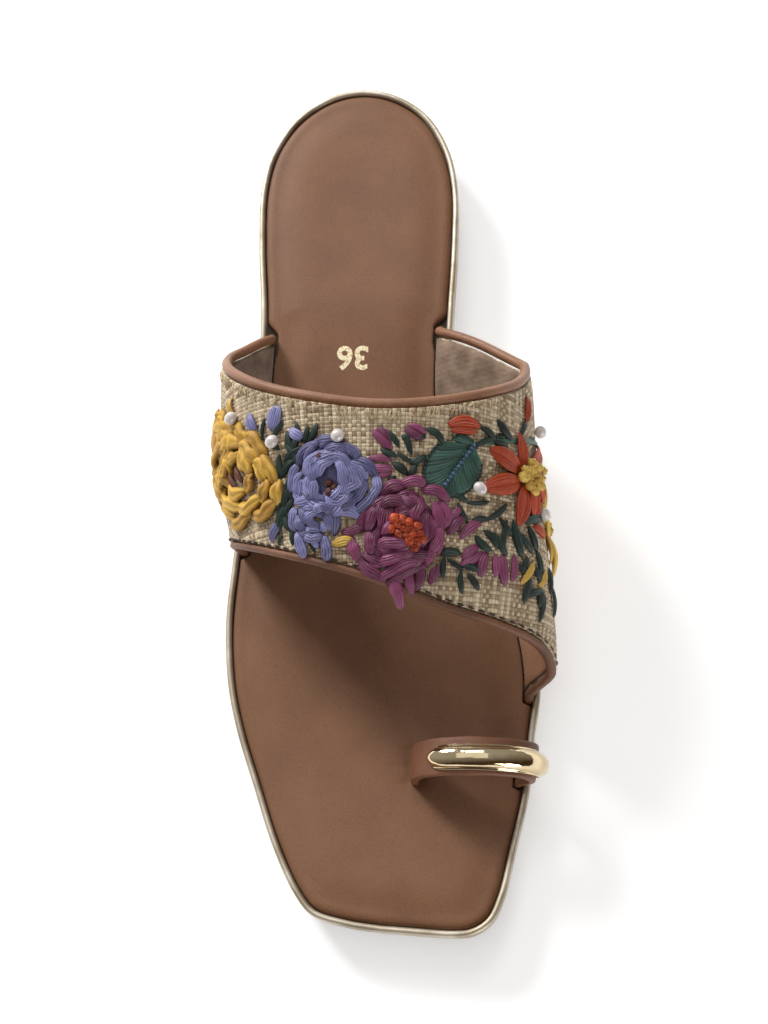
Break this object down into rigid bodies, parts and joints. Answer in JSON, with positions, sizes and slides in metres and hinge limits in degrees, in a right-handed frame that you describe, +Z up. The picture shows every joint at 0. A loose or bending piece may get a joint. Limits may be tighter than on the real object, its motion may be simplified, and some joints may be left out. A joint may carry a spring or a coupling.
{
  "type": "toe-loop slide sandal",
  "caption": "Flat open slide sandal with a wide strap over the instep, a loop for the big toe and a padded footbed in a rimmed sole.",
  "frame": {"origin": "middle of the bounding box in X and Y, on the floor that the sandal stands on", "axes": "+Z up, -Y towards the toe, +X towards the big-toe side"},
  "size_m": [0.0924, 0.246, 0.0661],
  "materials": {
    "heel_rubber": "matt brown rubber",
    "heel_stack": "stacked leatherboard, matt",
    "sole_rubber": "matt brown rubber sheet",
    "gold_foil": "champagne-gold foiled leather, satin",
    "footbed_leather": "matt tan-brown leather over padding",
    "raffia": "natural raffia in plain weave",
    "tan_leather": "smooth tan leather",
    "loop_leather": "smooth tan-brown leather",
    "gold_metal": "polished pale gold plate",
    "yellow_ribbon": "yellow cotton ribbon",
    "lavender_ribbon": "lavender cotton ribbon",
    "mauve_ribbon": "mauve cotton ribbon",
    "lining_fabric": "mottled woven lining cloth",
    "gold_print": "pale gold foil stamped on the footbed",
    "stitch_thread": "dark sewing thread",
    "pearl_bead": "cream pearl bead",
    "green_thread": "dark green embroidery thread",
    "orange_thread": "orange-red embroidery thread",
    "yellow_thread": "yellow embroidery thread",
    "mauve_thread": "mauve embroidery thread",
    "lavender_thread": "lavender embroidery thread"
  },
  "bodies": {
    "root": {"heel_lift": "heel_rubber", "heel_block": "heel_stack", "outsole": "sole_rubber", "midsole": "gold_foil", "insole": "footbed_leather", "upper": "raffia", "back_roll": "tan_leather", "front_binding": "tan_leather", "toe_loop": "loop_leather", "toe_bar": "gold_metal", "rose_yellow": "yellow_ribbon", "rose_lavender": "lavender_ribbon", "rose_mauve": "mauve_ribbon"}
  },
  "joints": []
}
